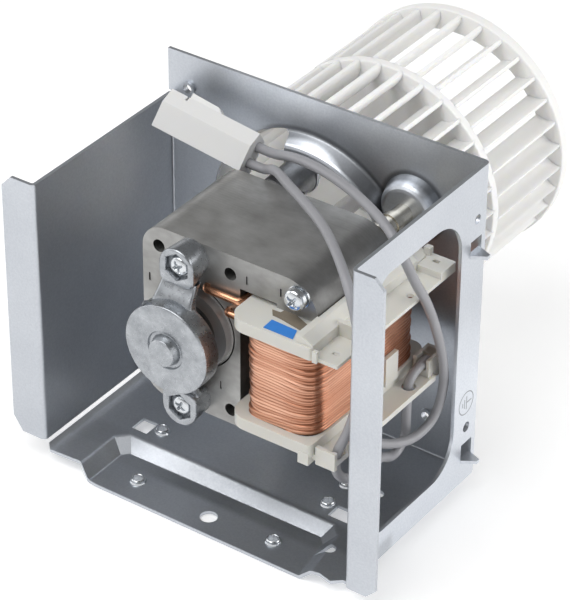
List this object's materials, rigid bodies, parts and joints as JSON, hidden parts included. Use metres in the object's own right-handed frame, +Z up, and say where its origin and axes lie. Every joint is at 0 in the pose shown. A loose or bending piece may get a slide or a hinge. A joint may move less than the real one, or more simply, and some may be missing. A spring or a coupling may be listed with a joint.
{
  "type": "fan motor",
  "caption": "Shaded-pole fan motor with a drum blower wheel on a folded galvanised bracket, with grey leads to a white plug housing.",
  "frame": {"origin": "middle of the part's outer width and length, on the underside of the sunken front lip of the bracket floor; the leads and the plug are left out of these extents", "axes": "+Z up, away from the bracket floor; +Y along the rotor axis from the motor to the drum wheel; +X from the plain side wall to the wall with the large cut-out"},
  "size_m": [0.1182, 0.1396, 0.1004],
  "materials": {
    "galvanised_sheet": "galvanised, matt spangle",
    "lamination_steel": "oxidised laminations",
    "copper": "bare copper",
    "bobbin_plastic": "translucent ivory, satin",
    "enamelled_wire": "enamelled copper wire, glossy",
    "label_paper": "matt blue",
    "tinned_contact": "tinned",
    "die_cast_metal": "as die cast",
    "sintered_bronze": "porous, oiled",
    "felt": "oiled felt",
    "spring_steel": "bright",
    "zinc_screw": "bright zinc",
    "nickel_spacer": "nickel plated",
    "cast_cage": "as cast",
    "shaft_steel": "ground",
    "collar_plastic": "matt",
    "washer_plastic": "matt",
    "wheel_plastic": "satin off-white",
    "plug_plastic": "satin white",
    "lead_insulation": "satin grey"
  },
  "bodies": {
    "frame": {"mounting_bracket": "galvanised_sheet", "stator_yoke": "lamination_steel", "coil_core": "lamination_steel", "shading_rings": "copper", "coil_bobbin": "bobbin_plastic", "coil_winding": "enamelled_wire", "coil_label": "label_paper", "winding_terminals": "tinned_contact", "front_bearing_bracket": "die_cast_metal", "rear_bearing_bracket": "die_cast_metal", "front_bearing": "sintered_bronze", "rear_bearing": "sintered_bronze", "front_oil_felt": "felt", "rear_oil_felt": "felt", "front_bearing_clip": "spring_steel", "rear_bearing_clip": "spring_steel", "bearing_screws": "zinc_screw", "fixing_nuts": "zinc_screw", "mounting_screw": "zinc_screw", "mounting_spacer": "nickel_spacer", "spacer_washers": "nickel_spacer", "mounting_bush": "nickel_spacer", "plug_housing": "plug_plastic", "plug_terminals": "tinned_contact", "lead_a": "lead_insulation", "lead_b": "lead_insulation"},
    "rotor": {"rotor_core": "lamination_steel", "rotor_cage": "cast_cage", "rotor_shaft": "shaft_steel", "rotor_collars": "collar_plastic", "thrust_washers": "washer_plastic", "fan_wheel": "wheel_plastic", "wheel_clip": "spring_steel"}
  },
  "joints": [
    {"name": "rotor_spin", "type": "hinge", "parent": "frame", "child": "rotor", "pos_m": [-0.00322, -0.00365, 0.05858], "axis": [0, 1, 0], "continuous": true}
  ]
}
